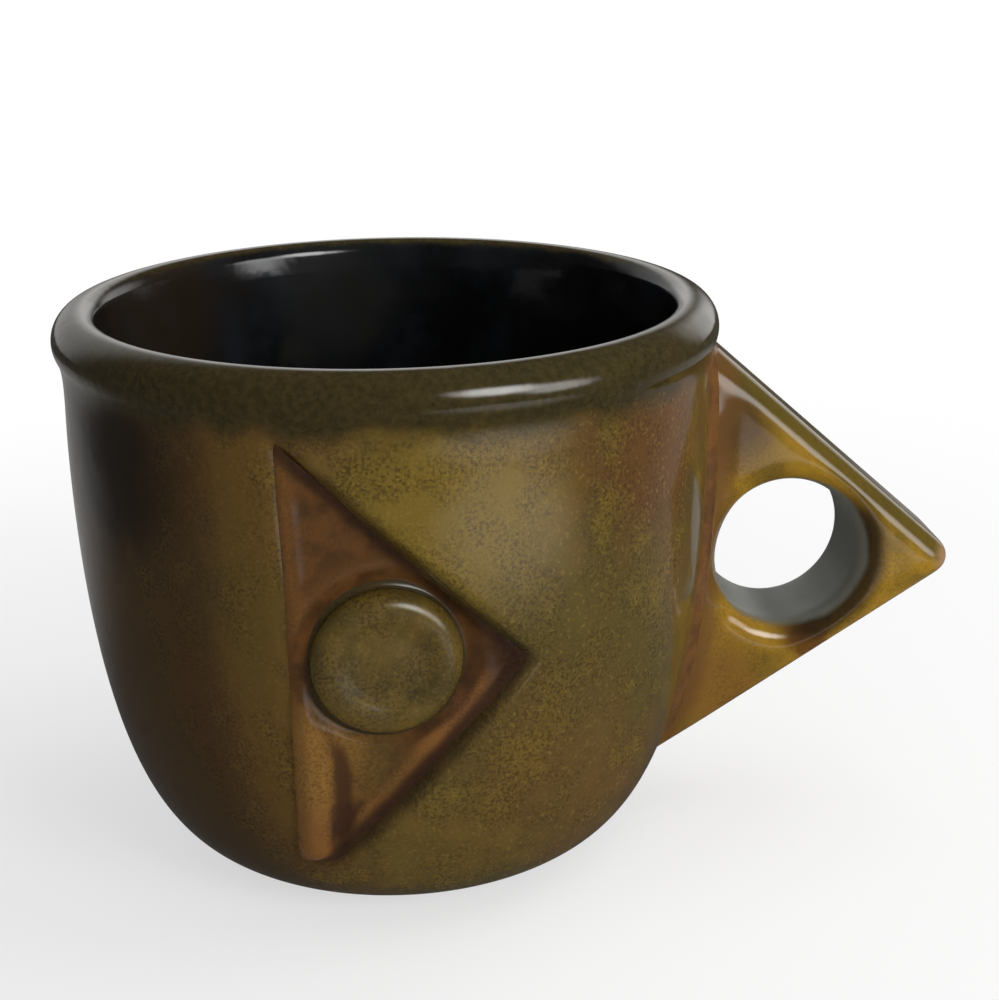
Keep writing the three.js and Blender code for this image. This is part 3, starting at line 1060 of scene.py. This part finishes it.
def handle_glaze():
    """Mustard gold, dark where it pools and rust where it thins, with painted shade in the finger hole's
    mouth and a painted reflection in its tunnel.
    """
    material, shader, place = glaze("handle_glaze")
    patch = place.grain(7, 4)
    wobble = patch.sway(14)
    near_side = -HANDLE_THICKNESS / 2
    colour = patch.step(0.42, 0.72).mix(MUSTARD, BRONZE)
    clouds = [
        ((AXIS_X + 46, near_side, 60), 10, 0.85, WALNUT),
        ((AXIS_X + 45, near_side, 21), 11, 0.6, RUSSET),
        ((AXIS_X + 58, near_side, 28.5), 5, 0.8, CHESTNUT),
    ]
    colour = clouded(place, colour, clouds, wobble)
    ledge = (place.mark("ledge") + patch.sway(2)).step(3.2, 1.6)
    colour = (ledge * 0.85).mix(colour, LEDGE_OLIVE)
    colour = speckled(place, colour, UMBER, 0.4)
    root = (place.mark("reach") + patch.sway(4)).step(5, 1.5)
    colour = (root * 0.8).mix(colour, ROOT_BROWN)
    through = place.flattened((1, 0, 1))
    tip = through.away((handle_high.x + 0.5, 0, SLAB_TIP.y)) + patch.sway(6)
    colour = (tip.step(3.6, 1.6) * 0.6).mix(colour, TIP_TAN)
    bore = through.away((AXIS_X + HOLE.x, 0, HOLE.y)) + patch.sway(0.8)
    # Painted shade on the far side of the finger hole's mouth.
    shade = place.away((AXIS_X + HOLE.x + 9, near_side, HOLE.y - 4)).step(15, 9)
    colour = (bore.step(HOLE_RADIUS + 4.3, HOLE_RADIUS + 1.5) * shade * 0.9).mix(colour, MOUTH_SHADE_BROWN)
    # Painted reflection: the finger hole's tunnel is painted grey for the pale light it mirrors.
    tunnel = bore.step(HOLE_RADIUS + 0.9, HOLE_RADIUS)
    colour = tunnel.mix(colour, TUNNEL_REFLECTION_GREY)
    fired(shader, place, colour, GLOSS + TUNNEL_DULLS * tunnel)
    return material


def panel_glaze():
    """Rust brown, orange on what stands out and maroon in the valley and the creases, darkened there and
    at the apex by painted shade.
    """
    material, shader, place = glaze("panel_glaze")
    patch = place.grain(3, 4)
    stand = place.mark("stand") + patch.sway(0.5)
    colour = patch.step(0.36, 0.66).mix(PANEL_BROWN, PANEL_DARK)
    colour = (stand.step(0.0, 0.5) * 0.8).mix(colour, ORANGE)
    clouds = [
        (on_panel(-9, 27), 6.5, 0.7, FIELD_OLIVE),
        (on_panel(5, 33), 6, 0.5, LIP_PINK),
        # Painted shade over pooled glaze: dark maroon in the sunk corner at the apex.
        (on_panel(10, 41), 7, 0.8, APEX_MAROON),
        (on_panel(-16, 28), 11, 0.7, RIB_GOLD),
    ]
    colour = clouded(place, colour, clouds, patch.sway(5))
    # Maroon glaze in the valley beside the rib, deepened as painted shade on its slope.
    valley = place.mark("valley") + patch.sway(0.5)
    colour = (valley.step(0.2, 0.9) * 0.85).mix(colour, VALLEY_MAROON)
    # Painted shade along the panel's sunk edges and its left edge.
    crease_shade = (place.mark("crease_shade") + patch.sway(0.4)).step(0.2, 1)
    colour = (crease_shade * 0.8).mix(colour, CREASE_SHADE_BROWN)
    colour = speckled(place, colour, UMBER, 0.55)
    fired(shader, place, colour)
    return material


def disc_glaze():
    """Speckled olive gold, with painted shade at its foot."""
    material, shader, place = glaze("disc_glaze")
    patch = place.grain(5, 4)
    colour = patch.step(0.38, 0.66).mix(DISC_GOLD, DISC_OLIVE)
    colour = flecked(place, colour, DISC_FLECK, 0.3)
    colour = speckled(place, colour, DARK, 0.6)
    # Painted shade in the crease at the disc's foot.
    colour = (place.mark("crease_shade") * 0.7).mix(colour, DISC_FOOT_SHADE)
    fired(shader, place, colour, DISC_GLOSS)
    return material


piece("cup", cup(), body_glaze(), "cup_body", slot="body_glaze")
piece("lining", lining(), lining_glaze(), "inner_lining", slot="lining_glaze")
piece("foot", foot(), bare_clay(), "foot_ring", slot="bare_clay")
piece("panel", relief_panel(), panel_glaze(), "relief_panel", slot="panel_glaze")
piece("disc", relief_disc(), disc_glaze(), "relief_disc", slot="disc_glaze")
piece("slab_handle", handle(), handle_glaze(), "handle", slot="handle_glaze")
piece("root_slip", joining_slip(), slip(), "joining_slip", slot="slip")


# Stage, light and camera. Lamps and what the camera leaves out are in metres, all else in millimetres.

WHITE = (1, 1, 1, 1)
FILL_LIGHT = (0.4, 0.4, 0.4, 1)
FLOOR_GREY = (0.85, 0.85, 0.85, 1)
FLOOR_ROUGHNESS = 0.9
FLOOR_SIZE = 1500
FLOOR_WHITE = 0.62
FLOOR_WHITENS = (90, 260)
STAGE_STEPS = 96

# Dim room that is seen in the glaze: ways to its patches, how wide they are, and how bright
ROOM_SIZE = 1300
ROOM_STEPS = 4
ROOM_SHADE = 0.06
PATCH_CORE = 0.35
TABLE_LIFT = 0.4
ROOM_PATCHES = [
    ((-0.5, 0.8, 0.3), 0.6, 0.6),
    ((0.0, 0.93, 0.36), 0.35, 1.2),
    ((0.6, 0.76, 0.22), 0.4, 1.2),
    ((0.78, -0.56, 0.28), 0.3, 5.0),
    ((0.49, -0.73, 0.48), 0.3, 11.0),
]

# Patches on the room's table: degrees from the front, distance, radius and brightness
TABLE_PATCHES = [
    (34, 222, 115, 1.1),
    (-145, 200, 160, 0.3),
    (118, 200, 150, 0.3),
]

# Camera, from the cup's axis
CAMERA_PLACE = Vector((-4.3, -235.1, 128.5))
CAMERA_PAN = math.radians(4.69)
CAMERA_TILT = math.radians(18.94)
CAMERA_ROLL = math.radians(0.67)
CAMERA_LENS = 63
CAMERA_SENSOR = 36
CAMERA_NEAR = 0.01

LAMP_TARGET = Vector((0, 0, 0.05))


def staged(name, bm, material):
    """Puts a mesh in millimetres on the stage, which isn't part of the mug."""
    bmesh.ops.transform(bm, matrix=Matrix.Scale(MM, 4), verts=bm.verts)
    mesh = bpy.data.meshes.new(name)
    bm.to_mesh(mesh)
    bm.free()
    mesh.materials.append(material)
    made = bpy.data.objects.new(name, mesh)
    bpy.context.scene.collection.objects.link(made)
    return made


def floor():
    """A pale floor that keeps the mug's shadow, turns white further out and is clear from below."""
    material, shader, place = glaze("floor")
    feed(shader, Base_Color=FLOOR_GREY, Roughness=FLOOR_ROUGHNESS)
    tree = material.node_tree
    outside = place.away((0, 0, 0)).step(*FLOOR_WHITENS)
    share = place.seen() * (FLOOR_WHITE + (1 - FLOOR_WHITE) * outside)
    white = place.node("Emission")
    pale = place.node("MixShader", None, {0: share, 1: Wire(tree, shader.outputs[0]), 2: white})
    below = place.node("NewGeometry", output="Backfacing")
    blend = place.node("MixShader", None, {0: below, 1: pale, 2: place.node("BsdfTransparent")})
    tree.links.new(blend.socket, tree.nodes["Material Output"].inputs["Surface"])
    bm = bmesh.new()
    bmesh.ops.create_circle(bm, cap_ends=True, radius=FLOOR_SIZE, segments=STAGE_STEPS)
    staged("floor", bm, material)


def grey(bright):
    """A colour without a hue."""
    return bright, bright, bright, 1


def room(name, bm, patches):
    """Part of a dim room that only the glaze reflects: a grey shade with brighter patches on it."""
    material, shader, place = glaze(name)
    light = grey(ROOM_SHADE)
    for spot, radius, bright in patches:
        light = place.away(spot).step(radius, PATCH_CORE * radius).mix(light, grey(bright))
    feed(shader, Base_Color=grey(0), Specular_IOR_Level=0.0)
    feed(shader, Emission_Color=light, Emission_Strength=1.0)
    made = staged(name, bm, material)
    made.visible_camera = False
    made.visible_diffuse = False
    made.visible_transmission = False
    made.visible_shadow = False


def table_spot(azimuth, away):
    """A spot on the table: degrees from the front towards the handle, and millimetres from the axis."""
    turn = math.radians(azimuth)
    return AXIS_X + away * math.sin(turn), -away * math.cos(turn), 0


def dim_room():
    """The room's walls, with its window, and its table."""
    walls = bmesh.new()
    bmesh.ops.create_icosphere(walls, subdivisions=ROOM_STEPS, radius=ROOM_SIZE)
    patches = [
        ([ROOM_SIZE * x for x in way], ROOM_SIZE * radius, bright) for way, radius, bright in ROOM_PATCHES
    ]
    room("room_walls", walls, patches)
    edge = [point(FOOT_RADIUS, TABLE_LIFT), point(ROOM_SIZE, TABLE_LIFT)]
    table = turned(edge, [(FULL_TURN, STAGE_STEPS)])
    bmesh.ops.translate(table, verts=table.verts, vec=(AXIS_X, 0, 0))
    patches = [
        (table_spot(azimuth, away), radius, bright) for azimuth, away, radius, bright in TABLE_PATCHES
    ]
    room("room_table", table, patches)


def softbox(name, place, size, power):
    """A square lamp that lights the mug. The glaze mirrors the room's window instead."""
    data = bpy.data.lights.new(name, "AREA")
    data.shape = "SQUARE"
    data.size = size
    data.energy = power
    lamp = bpy.data.objects.new(name, data)
    lamp.visible_glossy = False
    lamp.location = place
    lamp.rotation_euler = (LAMP_TARGET - Vector(place)).to_track_quat("-Z", "Y").to_euler()
    bpy.context.scene.collection.objects.link(lamp)


def world():
    """Plain grey fill light, white where it is seen directly or in a reflection."""
    sky = bpy.data.worlds.new("studio")
    sky.use_nodes = True
    tree = sky.node_tree
    shade = Wire(tree).seen().mix(FILL_LIGHT, WHITE)
    tree.links.new(shade.socket, tree.nodes["Background"].inputs["Color"])
    bpy.context.scene.world = sky


def camera():
    """The camera: turned aside by its pan, down by its tilt, and about its view by its roll."""
    place = (CAMERA_PLACE + Vector((AXIS_X, 0, 0))) * MM
    level_ahead = Vector((math.sin(CAMERA_PAN), math.cos(CAMERA_PAN), 0))
    ahead = level_ahead * math.cos(CAMERA_TILT) - Vector((0, 0, math.sin(CAMERA_TILT)))
    level_right = Vector((math.cos(CAMERA_PAN), -math.sin(CAMERA_PAN), 0))
    level_down = ahead.cross(level_right)
    right = math.cos(CAMERA_ROLL) * level_right + math.sin(CAMERA_ROLL) * level_down
    down = math.cos(CAMERA_ROLL) * level_down - math.sin(CAMERA_ROLL) * level_right
    data = bpy.data.cameras.new("camera")
    data.lens = CAMERA_LENS
    data.sensor_width = CAMERA_SENSOR
    data.clip_start = CAMERA_NEAR
    eye = bpy.data.objects.new("camera", data)
    axes = Matrix((right, -down, -ahead)).transposed()
    eye.matrix_world = Matrix.Translation(place) @ axes.to_4x4()
    bpy.context.scene.collection.objects.link(eye)
    bpy.context.scene.camera = eye


floor()
dim_room()
softbox("window", place=(0.58, -0.69, 0.46), size=0.4, power=5)
softbox("ceiling", place=(0.5, 0.1, 0.9), size=0.9, power=6)
world()
camera()
bpy.context.scene.view_settings.view_transform = "Standard"
